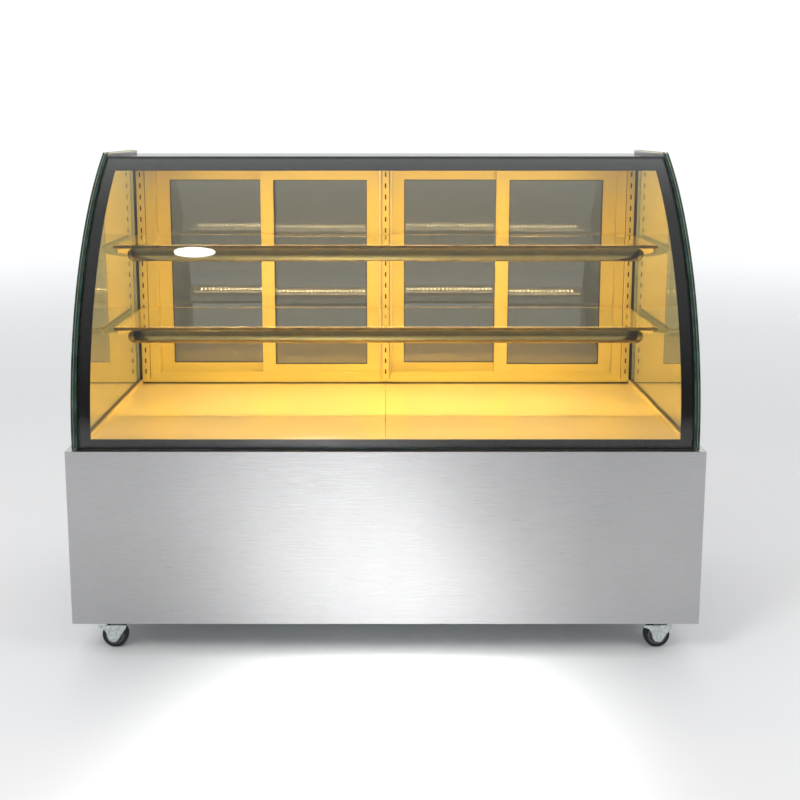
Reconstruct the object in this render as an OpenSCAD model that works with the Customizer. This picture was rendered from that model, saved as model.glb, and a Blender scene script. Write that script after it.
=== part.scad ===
// Refrigerated glass display showcase with a curved front, two lit shelves and four sliding rear doors.
// Origin on the floor at the centre of the outline: X to the customer's right, Y to the rear, Z up.

/* [Case] */
// Overall width
case_w = 1500; // [1400:10:1800]
// Overall depth, front panel to service side
case_d = 700; // [700:5:720]
// Overall height with casters
case_h = 1200; // [1190:5:1230]
// Height of the base under the glass
base_h = 427; // [420:1:440]
// Gap between floor and base
floor_gap = 88; // [88:1:95]
// Thickness of the base sheet metal
sheet = 1.5; // [1.2:0.1:2]

/* [Glass] */
// Radius of the curved edge of the side glass
arc_r = 811; // [805:1:811]
// How far the side glass stands in from the base on each side
glass_inset = 13; // [10:1:16]
// Thickness of one pane
pane_t = 5; // [4:1:5]
// Air gap inside the double side glass
air_gap = 4; // [3:1:5]
// Thickness of the curved front glass and of the top glass
front_t = 8; // [6:1:8]
// How far the top glass lies below the rim of the side glass
top_recess = 10; // [8:1:12]

/* [Shelves] */
// Height of the lower shelf surface
lower_z = 748; // [735:1:760]
// Height of the upper shelf surface
upper_z = 960; // [945:1:975]
// Width of both glass shelves
shelf_w = 1416; // [1390:2:1416]
// Thickness of the shelf glass
shelf_t = 8; // [6:1:10]
// Front edge of the lower shelf
lower_front = -35; // [-45:1:-25]
// Front edge of the upper shelf
upper_front = -12; // [-20:1:0]
// Length of the polished front rails
rail_w = 1346; // [1320:2:1350]
// Height of the front rails
rail_h = 34; // [30:1:36]

/* [Doors] */
// Width of one sliding door
door_w = 344; // [340:1:344]
// Thickness of one door
door_t = 16; // [14:1:17]
// Width of the door stiles
stile_w = 37; // [34:1:40]
// Half of the width of the centre mullion
mullion_half = 16; // [14:1:18]
// Distance from the middle to the outer jambs
jamb_x = 665; // [665:1:668]

/* [Casters] */
// Wheel diameter
wheel_d = 63; // [58:1:64]
// Wheel width
wheel_w = 22; // [18:1:24]
// Offset of the wheel axle from the swivel axis
trail = 10; // [8:1:14]
// Swivel axis of the left casters
caster_left = -654; // [-670:1:-640]
// Swivel axis of the right casters
caster_right = 676; // [660:1:690]
// Distance of the swivel axes from the middle, front to back
caster_y = 286; // [270:1:290]

/* [Machine] */
// Diameter of the condenser fan
fan_d = 170; // [150:1:176]
// Diameter of the evaporator fans
small_fan_d = 120; // [100:1:126]
// Diameter of the compressor shell
comp_d = 150; // [130:1:160]

/* [Hidden] */
$fn = 48;
round_fn = 180;

half_w = case_w / 2;
front_y = -case_d / 2;
rear_y = case_d / 2;
base_top = floor_gap + base_h;

// Glass body
glass_x = half_w - glass_inset;
inner_x = glass_x - 2 * pane_t - air_gap;
glass_rear = rear_y - 5;
arc_z = base_top + 5;
arc_y = front_y + 12 + arc_r;
front_glass_recess = 5;
top_z = case_h - top_recess;
top_front = arc_y - sqrt(pow(arc_r, 2) - pow(case_h - arc_z, 2));
seal_gap = 2;

// Rear frame and doors
frame_front = 296;
sill_top = base_top + 26;
head_z = case_h - 50;
frame_side = 715;
rib_h = 8;
rib_t = 2.5;
door_gap = 2;
door_z0 = sill_top + 2;
door_z1 = head_z - 2;
track_pitch = door_t + rib_t + 2 * door_gap;
inner_track = frame_front + rib_t + door_gap;
outer_track = inner_track + track_pitch;
rail_low = 29;
rail_top = 34;
door_left = [-jamb_x + 1, -mullion_half - 1 - door_w, mullion_half + 1, jamb_x - 1 - door_w];
door_track = [outer_track, inner_track, outer_track, inner_track];
pull_side = [0, 1, 0, 1];

// Base
tub_x = 722;
tub_front = -318;
tub_rear = 284;
tub_top = base_top - 4;
tub_floor = base_top - 218;
tub_wall = 40;
deck_z = base_top + 2;
deck_x = 715;
deck_front = -262;
deck_rear = 283;
post = 25;
tube_wall = 1.5;
rim_t = 4;
panel_rear = rear_y - 6;
panel_lip = 16;
joint_gap = 0.2;

// Machine bay
bay_z = floor_gap + sheet;
cond_x = 190;
cond_w = 280;
cond_h = 180;
cond_y = 40;
cond_d = 50;
cond_z = bay_z + 8;
fan_z = cond_z + cond_h / 2;
shroud_d = 30;
fan_y = cond_y + cond_d + shroud_d + 6;
comp_x = -330;
comp_y = 90;
comp_h = 150;
comp_z = bay_z + 20;
inlet_x = -660;
inlet_z = floor_gap + 60;

// Cold well
coil_y = -40;
coil_d = 120;
coil_half = 540;
coil_z = tub_floor + tub_wall + 22;
coil_h = 120;
bulk_y = 120;
well_z = tub_floor + tub_wall;
small_fan_x = 330;
small_fan_z = well_z + 88;
small_fan_y = bulk_y + 12;

// Controls
panel_x = 480;
panel_z = base_top - 62;
control_w = 230;
control_h = 60;
controller_x = panel_x - 50;
rocker_x = panel_x + 62;
rocker_tilt = 8;
button_x = [controller_x - 26, controller_x + 14, controller_x + 26];

// Casters
plate = 76;
plate_t = 2.5;
wheel_z = wheel_d / 2;
head_h = 9;
fork_top = floor_gap - plate_t - head_h;
fork_t = 2.5;
fork_half = wheel_w / 2 + 2;
axle_r = 4;
bore_r = 4.05;

caster_rear = caster_y - 6;
caster_at = [
    [caster_left, -caster_y], [caster_right, -caster_y],
    [caster_left, caster_rear], [caster_right, caster_rear]
];
bolt_half = 28;

// Shelf posts
standard_x = [-704, 0, 704];
standard_half = 10;
standard_d = 12;
standard_front = frame_front - standard_d;
standard_z0 = deck_z + 10;
standard_z1 = head_z - 6;
slot_pitch = 32;

// Light bars: under the upper shelf, under the lower shelf and under the top glass
bar_w = 1270;
bar_d = 8;
bar_h = 16;
canopy_front = top_front + 14;
bar_back = [upper_front + 12, lower_front + 12, canopy_front];
bar_top = [upper_z - shelf_t, lower_z - shelf_t, top_z - front_t];

steel = [0.74, 0.75, 0.76];
dark = [0.10, 0.11, 0.11];
pane = [0.55, 0.68, 0.64, 0.35];
lit = [1.0, 0.84, 0.50];
zinc = [0.72, 0.75, 0.75];
copper = [0.72, 0.42, 0.26];

module block(x0, x1, y0, y1, z0, z1) {
    translate([x0, y0, z0]) cube([x1 - x0, y1 - y0, z1 - z0]);
}

// Cylinder along Y from y0 to y1
module rod_y(x, z, r, y0, y1) {
    translate([x, y1, z]) rotate([90, 0, 0]) cylinder(r = r, h = y1 - y0, $fn = $fn);
}

// Outline in the YZ plane drawn as X, Y and extruded between two values of X
module along_x(x0, x1) {
    translate([x0, 0, 0]) rotate([90, 0, 90]) linear_extrude(x1 - x0) children();
}

// Side outline of the glass body, drawn smaller by d on every edge
module side_outline(d) {
    intersection() {
        translate([arc_y, arc_z]) circle(r = arc_r - d, $fn = round_fn);
        translate([front_y, base_top + 1 + d])
            square([glass_rear - d - front_y, case_h - base_top - 1 - 2 * d]);
    }
}

// ---- Base ----

// Square tube with open ends that fills the given box; its longest side is its length
module tube(x0, x1, y0, y1, z0, z1) {
    size = [x1 - x0, y1 - y0, z1 - z0];
    cut = [for (s = size) s > post + 1 ? -1 : tube_wall];
    difference() {
        block(x0, x1, y0, y1, z0, z1);
        block(x0 + cut[0], x1 - cut[0], y0 + cut[1], y1 - cut[1], z0 + cut[2], z1 - cut[2]);
    }
}

module chassis_frame() {
    rail_front = front_y + 4 + post + joint_gap;
    rail_rear = panel_rear - 4 - post - joint_gap;
    color("dimgray") {
        for (y = [front_y + 4, panel_rear - 4 - post])
            tube(-half_w + 4, half_w - 4, y, y + post, bay_z, bay_z + post);
        for (x = [-half_w + 4, half_w - 4 - post])
            tube(x, x + post, rail_front, rail_rear, bay_z, bay_z + post);
        for (x = [-half_w + 4, half_w - 4 - post], y = [front_y + 4, panel_rear - 4 - post])
            tube(x, x + post, y, y + post, bay_z + post + joint_gap, base_top - rim_t);
        for (x = [-half_w + 4 + post + joint_gap, half_w - 4 - 2 * post - joint_gap])
            tube(x, x + post, rail_front, rail_rear, tub_floor - post, tub_floor);
    }
}

module bottom_plate() {
    color("silver") difference() {
        block(-half_w + sheet, half_w - sheet, front_y + panel_lip, panel_rear, floor_gap, bay_z);
        for (i = [0 : 9])
            block(-40 + i * 34, -26 + i * 34, -160, -40, floor_gap - 1, bay_z + 1);
    }
}

// Flat face with a lip folded in along the top and the bottom
module front_panel() {
    color(steel) {
        block(-half_w, half_w, front_y, front_y + sheet, floor_gap, base_top);
        for (z = [floor_gap, base_top - sheet])
            block(-half_w + sheet, half_w - sheet, front_y + sheet, front_y + panel_lip, z, z + sheet);
    }
}

module side_panel(s) {
    x0 = s > 0 ? half_w - sheet : -half_w;
    color(steel) {
        difference() {
            block(x0, x0 + sheet, front_y + sheet, rear_y, floor_gap, base_top);
            if (s < 0)
                for (i = [0 : 7])
                    translate([-half_w, 0, floor_gap + 45 + i * 16]) block(-1, sheet + 1, 0, 150, 0, 5);
        }
    }
}
module side_panel_left() { side_panel(-1); }
module side_panel_right() { side_panel(1); }

module rear_service_panel() {
    louvre_x = [-560, 40];
    louvre_w = 300;
    louvre_n = 9;
    louvre_pitch = 18;
    slot_h = 8;
    slot_z = floor_gap + 36;
    y0 = panel_rear;
    z1 = base_top - rim_t - 1;
    color(steel) difference() {
        union() {
            block(-half_w + 4, half_w - 4, y0, y0 + sheet, floor_gap, z1);
            for (x = louvre_x, i = [0 : louvre_n - 1])
                translate([0, 0, slot_z + slot_h + i * louvre_pitch])
                    block(x, x + louvre_w, y0 + sheet, y0 + sheet + 3, 0, 2);
        }
        for (x = louvre_x, i = [0 : louvre_n - 1])
            translate([0, 0, slot_z + i * louvre_pitch])
                block(x, x + louvre_w, y0 - 1, y0 + sheet + 1, 0, slot_h);
        block(panel_x - control_w / 2 + 8, panel_x + control_w / 2 - 8, y0 - 1, y0 + sheet + 1,
            panel_z - control_h / 2 + 8, panel_z + control_h / 2 - 8);
        rod_y(inlet_x, inlet_z, 8, y0 - 1, y0 + sheet + 1);
    }
}

module base_rim() {
    z0 = base_top - rim_t;
    color(steel) difference() {
        block(-half_w + sheet, half_w - sheet, front_y + panel_lip, rear_y - 1, z0, base_top);
        block(-deck_x - 2, deck_x + 2, -324, frame_front - 8, z0 - 1, base_top + 1);
    }
}

module insulated_tub() {
    color("gainsboro") difference() {
        block(-tub_x, tub_x, tub_front, tub_rear, tub_floor, tub_top);
        block(-tub_x + tub_wall, tub_x - tub_wall, tub_front + tub_wall, tub_rear - tub_wall,
            well_z, tub_top + 1);
        translate([0, coil_y, tub_floor - 1]) cylinder(r = 11, h = tub_wall + 2);
    }
}

// A deck pan is a folded sheet: a flat top with a rim turned down on its four sides
module deck_pans() {
    fold = deck_z - tub_top;
    color(lit) for (s = [0, 1]) mirror([s, 0, 0]) difference() {
        block(0.5, deck_x, deck_front, deck_rear, tub_top, deck_z);
        block(0.5 + sheet, deck_x - sheet, deck_front + sheet, deck_rear - sheet,
            tub_top - 1, deck_z - sheet);
    }
}

module front_air_strip() {
    n = 30;
    step = (2 * deck_x - 60) / n;
    y0 = tub_front + 1;
    color(lit) difference() {
        block(-deck_x, deck_x, y0, deck_front - 1, tub_top, deck_z + 2);
        block(-deck_x + sheet, deck_x - sheet, y0 + sheet, deck_front - 1 - sheet, tub_top - 1, deck_z + 0.5);
        for (i = [0 : n - 1], y = [-306, -288])
            block(-deck_x + 34 + i * step, -deck_x + 26 + (i + 1) * step, y, y + 6, deck_z - 1, deck_z + 3);
    }
}

// ---- Cold well ----

module evaporator_coil() {
    fins = 28;
    pitch = 2 * coil_half / fins;
    tube_r = 5;
    rows = [-36, 0, 36];
    levels = [24, 60, 96];
    color("lightgray") {
        for (i = [0 : fins])
            block(-coil_half + i * pitch - 0.6, -coil_half + i * pitch + 0.6,
                coil_y - coil_d / 2, coil_y + coil_d / 2, coil_z, coil_z + coil_h);
        for (y = rows, z = levels)
            translate([-coil_half - 14, coil_y + y, coil_z + z]) rotate([0, 90, 0])
                cylinder(r = tube_r, h = 2 * coil_half + 28);
        for (x = [-coil_half - 14, coil_half + 4], z = levels)
            block(x, x + 10, coil_y - 41, coil_y + 41, coil_z + z - tube_r, coil_z + z + tube_r);
    }
}

module evaporator_fan_bulkhead() {
    hole_r = small_fan_d / 2 + 5;
    color("whitesmoke") {
        difference() {
            block(-tub_x + tub_wall + 2, tub_x - tub_wall - 2, bulk_y - 1, bulk_y + 1, well_z, tub_top - 2);
            for (s = [-1, 1]) rod_y(s * small_fan_x, small_fan_z, hole_r, bulk_y - 2, bulk_y + 2);
        }
        for (s = [-1, 1]) {
            rod_y(s * small_fan_x, small_fan_z, 20, bulk_y - 34, bulk_y - 4);
            rod_y(s * small_fan_x, small_fan_z, 3, bulk_y - 5, small_fan_y + 8);
            for (a = [-1, 1])
                block(s * small_fan_x + a * 45 - 30, s * small_fan_x + a * 45 + 30, bulk_y - 8, bulk_y - 1.0,
                    small_fan_z - 3, small_fan_z + 3);
        }
    }
}

// Fan with flat pitched blades on a bored hub; the axis lies along Y
module fan(x, y, z, d, n, hub_r, shaft_r, depth) {
    translate([x, y, z]) rotate([90, 0, 0]) difference() {
        union() {
            translate([0, 0, -depth / 2]) cylinder(r = hub_r, h = depth);
            intersection() {
                for (i = [0 : n - 1]) rotate([0, 0, i * 360 / n])
                    translate([hub_r * 0.6, 0, 0]) rotate([24, 0, 0])
                        translate([0, -d * 0.14, -1]) cube([d / 2, d * 0.28, 2]);
                translate([0, 0, -depth]) cylinder(r = d / 2, h = 2 * depth);
            }
        }
        translate([0, 0, -depth]) cylinder(r = shaft_r, h = 2 * depth);
    }
}
module evaporator_fan_left() {
    color(dark) fan(-small_fan_x, small_fan_y, small_fan_z, small_fan_d, 5, 16, 3.05, 14);
}
module evaporator_fan_right() {
    color(dark) fan(small_fan_x, small_fan_y, small_fan_z, small_fan_d, 5, 16, 3.05, 14);
}

module drip_tray() {
    tray_h = 16;
    color("silver") difference() {
        union() {
            block(-coil_half - 20, coil_half + 20, coil_y - 70, coil_y + 70, well_z + 2, well_z + 2 + tray_h);
            translate([0, coil_y, tub_floor - 30]) cylinder(r = 10, h = 30 + tub_wall + 3);
        }
        block(-coil_half - 18, coil_half + 18, coil_y - 68, coil_y + 68, well_z + 4, well_z + 3 + tray_h);
        translate([0, coil_y, tub_floor - 31]) cylinder(r = 8, h = 31 + tub_wall + 6);
    }
}

// ---- Machine bay ----

module compressor() {
    r = comp_d / 2;
    dome = 40;
    color(dark) {
        translate([comp_x, comp_y, comp_z]) rotate_extrude($fn = round_fn) intersection() {
            union() {
                square([r, comp_h - dome]);
                translate([0, comp_h - dome]) square([r - dome, dome]);
                translate([r - dome, comp_h - dome]) circle(r = dome, $fn = round_fn);
            }
            square([r, comp_h]);
        }
        block(comp_x - 100, comp_x + 100, comp_y - 62, comp_y + 62, comp_z - 6, comp_z);
        for (x = [-86, 86], y = [-48, 48])
            translate([comp_x + x, comp_y + y, bay_z]) cylinder(r = 11, h = comp_z - 6 - bay_z);
        block(comp_x - 30, comp_x + 30, comp_y - r - 22, comp_y - r + 6, comp_z + 30, comp_z + 90);
    }
}

module condenser_coil() {
    fins = 24;
    pitch = cond_w / fins;
    color("silver") {
        for (i = [0 : fins])
            block(cond_x - cond_w / 2 + i * pitch - 0.6, cond_x - cond_w / 2 + i * pitch + 0.6,
                cond_y, cond_y + cond_d, cond_z, cond_z + cond_h);
        for (y = [14, 36], z = [20 : 35 : 160])
            translate([cond_x - cond_w / 2 - 10, cond_y + y, cond_z + z]) rotate([0, 90, 0])
                cylinder(r = 4.5, h = cond_w + 20);
        block(cond_x - cond_w / 2, cond_x + cond_w / 2, cond_y, cond_y + cond_d, bay_z, cond_z + 1);
    }
}

module condenser_fan_shroud() {
    y0 = cond_y + cond_d;
    wall = 2;
    color(dark) {
        difference() {
            block(cond_x - cond_w / 2, cond_x + cond_w / 2, y0, y0 + shroud_d, cond_z, cond_z + cond_h);
            block(cond_x - cond_w / 2 + wall, cond_x + cond_w / 2 - wall, y0 - 1, y0 + shroud_d - wall,
                cond_z + wall, cond_z + cond_h - wall);
            rod_y(cond_x, fan_z, fan_d / 2 + 2, y0, y0 + shroud_d + 1);
        }
        rod_y(cond_x, fan_z, 30, fan_y + 16, fan_y + 66);
        rod_y(cond_x, fan_z, 4, fan_y - 10, fan_y + 17);
        for (s = [-1, 1]) {
            block(cond_x + s * 70 - 42, cond_x + s * 70 + 42, fan_y + 30, fan_y + 34, fan_z - 4, fan_z + 4);
            block(cond_x + s * 110 - 3, cond_x + s * 110 + 3, y0 + shroud_d - 1, fan_y + 34,
                fan_z - 4, fan_z + 4);
        }
    }
}

module condenser_fan() {
    color("lightgray") fan(cond_x, fan_y, fan_z, fan_d - 8, 5, 24, 4.05, 18);
}

// Pipe made of straight stretches with round elbows
module pipe(points, r) {
    for (i = [0 : len(points) - 2]) {
        a = points[i];
        b = points[i + 1];
        v = b - a;
        turn = abs(v[0]) > 0 ? [0, sign(v[0]) * 90, 0]
            : abs(v[1]) > 0 ? [-sign(v[1]) * 90, 0, 0]
            : [v[2] > 0 ? 0 : 180, 0, 0];
        translate(a) rotate(turn) cylinder(r = r, h = norm(v), $fn = 24);
        if (i > 0) translate(a) sphere(r = r, $fn = 24);
    }
}

module refrigerant_lines() {
    low = comp_z + 60;
    edge = comp_x + comp_d / 2;
    cond_left = cond_x - cond_w / 2;
    hot_x = -140;
    cold_x = -180;
    drier_x = -60;
    liquid_z = cond_z + 160;
    foot = tub_floor - 8;
    suction_y = comp_y + 10;
    color(copper) {
        pipe([
            [edge, comp_y, low], [hot_x, comp_y, low], [hot_x, 54, low],
            [hot_x, 54, cond_z + 20], [cond_left - 10, 54, cond_z + 20]
        ], 4);
        pipe([[edge, suction_y, low + 40], [cold_x, suction_y, low + 40], [cold_x, suction_y, foot]], 5);
        pipe([
            [cond_left - 10, 76, liquid_z], [drier_x, 76, liquid_z],
            [drier_x, 20, liquid_z], [drier_x, 20, foot]
        ], 4);
    }
    color("goldenrod") translate([drier_x, 48, liquid_z]) rotate([90, 0, 0])
        cylinder(r = 11, h = 30, center = true);
}

module electrical_box() {
    box_x = 430;
    box_y = 160;
    box_w = 160;
    box_d = 130;
    box_h = 110;
    wall = 3;
    color("gray") difference() {
        block(box_x, box_x + box_w, box_y, box_y + box_d, bay_z, bay_z + box_h);
        block(box_x + wall, box_x + box_w - wall, box_y + wall, box_y + box_d - wall,
            bay_z + wall, bay_z + box_h - wall);
    }
}

module control_panel() {
    y0 = panel_rear + sheet;
    color(dark) {
        difference() {
            block(panel_x - control_w / 2, panel_x + control_w / 2, y0, y0 + 1.5,
                panel_z - control_h / 2, panel_z + control_h / 2);
            block(controller_x - 36, controller_x + 36, y0 - 1, y0 + 3, panel_z - 15, panel_z + 15);
            block(rocker_x - 14, rocker_x + 14, y0 - 1, y0 + 3, panel_z - 10, panel_z + 10);
        }
        difference() {
            block(controller_x - 36, controller_x + 36, y0 - 42, y0 + 2.5, panel_z - 15, panel_z + 15);
            for (x = button_x)
                block(x - 4.3, x + 4.3, y0 - 4, y0 + 3, panel_z - 4.3, panel_z + 4.3);
            block(controller_x - 19, controller_x + 6, y0 + 1.5, y0 + 3, panel_z - 9, panel_z + 9);
        }
        difference() {
            block(rocker_x - 14, rocker_x + 14, y0 - 24, y0 + 2.5, panel_z - 10, panel_z + 10);
            block(rocker_x - 11, rocker_x + 11, y0 - 14, y0 + 3, panel_z - 7.5, panel_z + 7.5);
        }
    }
}

module light_rocker() {
    y0 = panel_rear + sheet;
    wide = 10.4;
    color("limegreen") translate([rocker_x, y0 - 5, panel_z]) {
        rotate([0, 90, 0]) cylinder(r = 3, h = 2 * wide, center = true);
        rotate([rocker_tilt, 0, 0]) intersection() {
            rotate([0, 90, 0]) cylinder(r = 8, h = 2 * wide, center = true, $fn = round_fn);
            translate([-wide, -3, -6.2]) cube([2 * wide, 10, 12.4]);
        }
    }
}

module button(i) {
    y0 = panel_rear + sheet;
    color("dimgray") block(button_x[i] - 4, button_x[i] + 4, y0 - 2.4, y0 + 3.8, panel_z - 4, panel_z + 4);
}
module set_button() { button(0); }
module up_button() { button(1); }
module down_button() { button(2); }

module power_inlet() {
    color(dark) translate([inlet_x, 0, inlet_z]) rotate([-90, 0, 0]) difference() {
        union() {
            translate([0, 0, panel_rear - 14]) cylinder(r = 7.9, h = 18);
            translate([0, 0, panel_rear - 7]) cylinder(r = 12, h = 7, $fn = 6);
            translate([0, 0, panel_rear + sheet]) cylinder(r = 12, h = 4);
        }
        translate([0, 0, panel_rear - 15]) cylinder(r = 4, h = 24);
    }
}

// ---- Glass body ----

module front_glass() {
    outer_r = arc_r - front_glass_recess;
    color(pane) along_x(-inner_x + seal_gap, inner_x - seal_gap) intersection() {
        difference() {
            translate([arc_y, arc_z]) circle(r = outer_r, $fn = round_fn);
            translate([arc_y, arc_z]) circle(r = outer_r - front_t, $fn = round_fn);
        }
        translate([front_y, base_top + seal_gap]) square([top_front - front_y, top_z - base_top - seal_gap]);
    }
}

module side_glass(s) {
    outer = glass_x - pane_t;
    color(pane) for (x = [inner_x, outer])
        along_x(s > 0 ? x : -x - pane_t, s > 0 ? x + pane_t : -x) side_outline(0);
}
module side_glass_left() { side_glass(-1); }
module side_glass_right() { side_glass(1); }

module side_glass_spacers() {
    x0 = inner_x + pane_t;
    color(dark) for (s = [0, 1]) mirror([s, 0, 0])
        along_x(x0, x0 + air_gap) difference() {
            side_outline(3);
            side_outline(13);
        }
}

module top_glass() {
    half = inner_x - seal_gap;
    color(pane) block(-half, half, top_front + 1, glass_rear, top_z - front_t, top_z);
}

// Channels that hold the foot of the glass: along both sides and across the front
module glass_channels() {
    color(dark) {
        for (s = [-1, 1])
            block(s > 0 ? deck_x + 1 : -inner_x + 1, s > 0 ? inner_x - 1 : -deck_x - 1,
                -316, frame_front - 2, base_top, base_top + 14);
        block(-inner_x + 2, inner_x - 2, tub_front - 6, tub_front, base_top, base_top + 10);
    }
}

// ---- Rear frame and doors ----

// Extrusions of the rear opening: sill, header, jambs, mullion and the ribs of the two door tracks
module rear_frame() {
    y1 = glass_rear;
    z0 = sill_top + joint_gap;
    z1 = head_z - joint_gap;
    color(steel) {
        block(-frame_side, frame_side, frame_front, y1, base_top, sill_top);
        block(-frame_side, frame_side, frame_front, y1, head_z, top_z - front_t);
        for (s = [-1, 1])
            block(s > 0 ? jamb_x : -frame_side, s > 0 ? frame_side : -jamb_x, frame_front, y1, z0, z1);
        block(-mullion_half, mullion_half, frame_front, y1, z0, z1);
        for (s = [0, 1], i = [0 : 2], z = [z0, z1 - rib_h]) mirror([s, 0, 0])
            block(mullion_half + joint_gap, jamb_x - joint_gap,
                frame_front + i * track_pitch, frame_front + i * track_pitch + rib_t, z, z + rib_h);
    }
}

module door_frame(i) {
    x0 = door_left[i];
    y0 = door_track[i];
    pull_z = (door_z0 + door_z1) / 2;
    pull_x = pull_side[i] > 0 ? x0 + door_w - stile_w / 2 : x0 + stile_w / 2;
    color(lit) {
        difference() {
            block(x0, x0 + door_w, y0, y0 + door_t, door_z0, door_z1);
            block(x0 + stile_w, x0 + door_w - stile_w, y0 - 1, y0 + door_t + 1,
                door_z0 + rail_low, door_z1 - rail_top);
            block(x0 + stile_w - 5, x0 + door_w - stile_w + 5, y0 + door_t / 2 - 2.5, y0 + door_t / 2 + 2.5,
                door_z0 + rail_low - 5, door_z1 - rail_top + 5);
            block(pull_x - 10, pull_x + 10, y0 + 5, y0 + door_t + 1, pull_z - 50, pull_z + 50);
        }
        for (x = [x0 + 40, x0 + door_w - 40])
            block(x - 15, x + 15, y0 + 4, y0 + door_t - 4, sill_top + 0.2, door_z0);
    }
    color(dark) difference() {
        block(pull_x - 10, pull_x + 10, y0 + 5, y0 + door_t, pull_z - 50, pull_z + 50);
        block(pull_x - 8, pull_x + 8, y0 + 7, y0 + door_t + 1, pull_z - 48, pull_z + 48);
    }
}
module door_frame_1() { door_frame(0); }
module door_frame_2() { door_frame(1); }
module door_frame_3() { door_frame(2); }
module door_frame_4() { door_frame(3); }

module door_glass(i) {
    x0 = door_left[i] + stile_w - 5;
    y0 = door_track[i] + door_t / 2 - 2.5;
    color(pane) block(x0, x0 + door_w - 2 * stile_w + 10, y0, y0 + 5,
        door_z0 + rail_low - 5, door_z1 - rail_top + 5);
}
module door_glass_1() { door_glass(0); }
module door_glass_2() { door_glass(1); }
module door_glass_3() { door_glass(2); }
module door_glass_4() { door_glass(3); }

// ---- Shelves and lights ----

module shelf_standards() {
    n = floor((standard_z1 - standard_z0 - 40) / slot_pitch);
    color(steel) for (x = standard_x) difference() {
        block(x - standard_half, x + standard_half, standard_front, frame_front, standard_z0, standard_z1);
        block(x - standard_half + 2, x + standard_half - 2, standard_front + 2, frame_front + 1,
            standard_z0 - 1, standard_z1 + 1);
        for (i = [0 : n])
            block(x - 2, x + 2, standard_front - 1, standard_front + 3,
                standard_z0 + 20 + i * slot_pitch, standard_z0 + 34 + i * slot_pitch);
    }
}

module bracket(x, z, y_front) {
    color(steel) along_x(x - 1.5, x + 1.5) polygon([
        [standard_front, z], [y_front + 22, z], [y_front + 22, z - 14],
        [standard_front - 40, z - 54], [standard_front, z - 54]
    ]);
}
module shelf_brackets() {
    for (x = standard_x) {
        bracket(x, upper_z - shelf_t, upper_front);
        bracket(x, lower_z - shelf_t, lower_front);
    }
}

module shelf(z, y_front) {
    color(pane) block(-shelf_w / 2, shelf_w / 2, y_front, standard_front - 8, z - shelf_t, z);
}
module shelf_upper() { shelf(upper_z, upper_front); }
module shelf_lower() { shelf(lower_z, lower_front); }

// Front rail with round ends and a slim slot behind it for the light bar
module rail(z, y_front) {
    translate([0, y_front + 12, z]) rotate([90, 0, 0]) linear_extrude(10) {
        square([rail_w - rail_h, rail_h], center = true);
        for (s = [-1, 1]) translate([s * (rail_w - rail_h) / 2, 0]) circle(d = rail_h, $fn = round_fn);
    }
}
module shelf_rails() {
    color("silver") {
        rail(upper_z - shelf_t - rail_h / 2, upper_front);
        rail(lower_z - shelf_t - rail_h / 2, lower_front);
    }
}

module light_housings() {
    color("whitesmoke") for (i = [0 : 2], s = [0, 1]) mirror([s, 0, 0])
        block(2, bar_w / 2, bar_back[i], bar_back[i] + bar_d, bar_top[i] - bar_h, bar_top[i]);
}
module light_lenses() {
    color(lit) for (i = [0 : 2], s = [0, 1]) mirror([s, 0, 0])
        block(6, bar_w / 2 - 4, bar_back[i] + 1, bar_back[i] + bar_d - 1,
            bar_top[i] - bar_h - 4, bar_top[i] - bar_h);
}

// ---- Casters ----

module caster_plates() {
    color(zinc) for (p = caster_at) translate([p[0], p[1], 0]) {
        difference() {
            translate([-plate / 2, -plate / 2, floor_gap - plate_t]) cube([plate, plate, plate_t]);
            for (x = [-1, 1], y = [-1, 1])
                translate([x * bolt_half, y * bolt_half, floor_gap - plate_t - 1])
                    cylinder(r = 3.3, h = plate_t + 2);
        }
        translate([0, 0, fork_top + 0.4]) cylinder(r = 24, h = head_h - 0.4, $fn = round_fn);
        translate([0, 0, fork_top - 8]) cylinder(r = 4, h = 9);
        translate([0, 0, fork_top - 9.9]) cylinder(r = 7, h = 5, $fn = 6);
    }
}

// Fork: a bored cap with two legs that slope back to the axle, and the axle bolt with its head and nut
module caster_fork(i) {
    leg = fork_top - 3;
    color(zinc) translate([caster_at[i][0], caster_at[i][1], 0]) {
        difference() {
            translate([0, 0, fork_top - 3]) cylinder(r = 23, h = 3, $fn = round_fn);
            translate([0, 0, fork_top - 4]) cylinder(r = 4.05, h = 5);
        }
        for (s = [-1, 1]) translate([0, s * (fork_half + fork_t / 2), 0]) rotate([90, 0, 0])
            linear_extrude(fork_t, center = true) {
                polygon([
                    [-18, leg + 0.5], [18, leg + 0.5], [-trail + 9, wheel_z - 4], [-trail - 9, wheel_z - 4]
                ]);
                translate([-trail, wheel_z]) circle(r = 10, $fn = round_fn);
            }
        rod_y(-trail, wheel_z, axle_r, -fork_half - fork_t - 5, fork_half + fork_t + 5);
        rod_y(-trail, wheel_z, 7, -fork_half - fork_t - 5, -fork_half - fork_t);
        rod_y(-trail, wheel_z, 7, fork_half + fork_t, fork_half + fork_t + 5);
    }
}
module caster_fork_front_left() { caster_fork(0); }
module caster_fork_front_right() { caster_fork(1); }
module caster_fork_rear_left() { caster_fork(2); }
module caster_fork_rear_right() { caster_fork(3); }

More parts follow.
